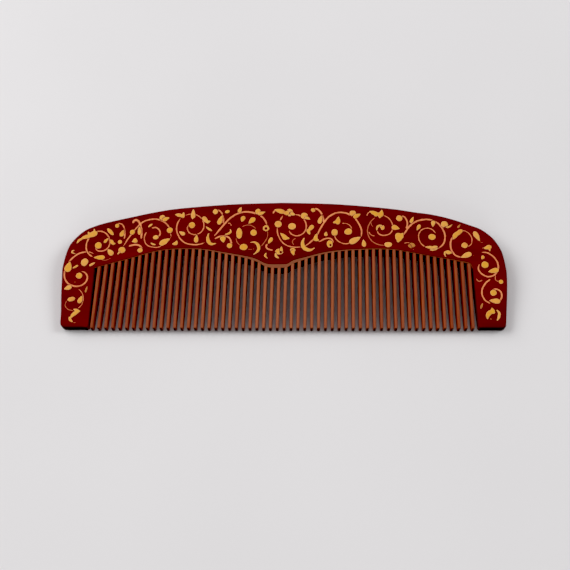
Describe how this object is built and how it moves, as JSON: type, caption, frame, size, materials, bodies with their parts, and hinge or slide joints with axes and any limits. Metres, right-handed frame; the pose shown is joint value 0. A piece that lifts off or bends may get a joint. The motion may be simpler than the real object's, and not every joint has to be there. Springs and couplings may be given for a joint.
{
  "type": "hair comb",
  "caption": "Arched wooden hair comb with fine sawn teeth, solid end guards, a red lacquered spine and hand-brushed gold scrollwork.",
  "frame": {"origin": "middle of the comb's footprint, on the flat back it lies on", "axes": "+X along the comb from the left guard to the right guard seen from the decorated face, +Y from the tips of the teeth to the crest, +Z out of the decorated face"},
  "size_m": [0.1671, 0.0506, 0.0079],
  "materials": {
    "red_lacquer": "satin red lacquer over wood, with brush marks and slightly worn edges",
    "stained_wood": "bare stained wood, fine straight grain, satin",
    "gold_line": "thin brushed lines of gold paint that let the red through",
    "gold_leaf": "thicker gold paint, satin, slightly uneven"
  },
  "bodies": {
    "root": {"spine": "red_lacquer", "left_guard": "red_lacquer", "right_guard": "red_lacquer", "tooth_bed_01": "stained_wood", "tooth_bed_02": "stained_wood", "tooth_bed_03": "stained_wood", "tooth_bed_04": "stained_wood", "tooth_bed_05": "stained_wood", "tooth_bed_06": "stained_wood", "tooth_bed_07": "stained_wood", "tooth_group_01": "stained_wood", "tooth_group_02": "stained_wood", "tooth_group_03": "stained_wood", "tooth_group_04": "stained_wood", "tooth_group_05": "stained_wood", "tooth_group_06": "stained_wood", "tooth_group_07": "stained_wood", "tooth_group_08": "stained_wood", "tooth_group_09": "stained_wood", "tooth_group_10": "stained_wood", "tooth_group_11": "stained_wood", "tooth_group_12": "stained_wood", "tooth_group_13": "stained_wood", "tooth_group_14": "stained_wood", "gold_vines_01": "gold_line", "gold_vines_02": "gold_line", "gold_vines_03": "gold_line", "gold_vines_04": "gold_line", "gold_vines_05": "gold_line", "gold_vines_06": "gold_line", "gold_vines_07": "gold_line", "gold_vines_08": "gold_line", "gold_vines_09": "gold_line", "gold_vines_10": "gold_line", "gold_vines_11": "gold_line", "gold_leaves_01": "gold_leaf", "gold_leaves_02": "gold_leaf", "gold_leaves_03": "gold_leaf", "gold_leaves_04": "gold_leaf", "gold_leaves_05": "gold_leaf", "gold_leaves_06": "gold_leaf", "gold_leaves_07": "gold_leaf", "gold_leaves_08": "gold_leaf", "gold_leaves_09": "gold_leaf", "gold_leaves_10": "gold_leaf", "gold_leaves_11": "gold_leaf", "gold_buds_01": "gold_leaf", "gold_buds_02": "gold_leaf", "gold_buds_03": "gold_leaf", "gold_buds_04": "gold_leaf", "gold_buds_05": "gold_leaf", "gold_buds_06": "gold_leaf", "gold_buds_07": "gold_leaf", "gold_buds_08": "gold_leaf", "gold_buds_09": "gold_leaf", "gold_buds_10": "gold_leaf", "gold_buds_11": "gold_leaf"}
  },
  "joints": []
}
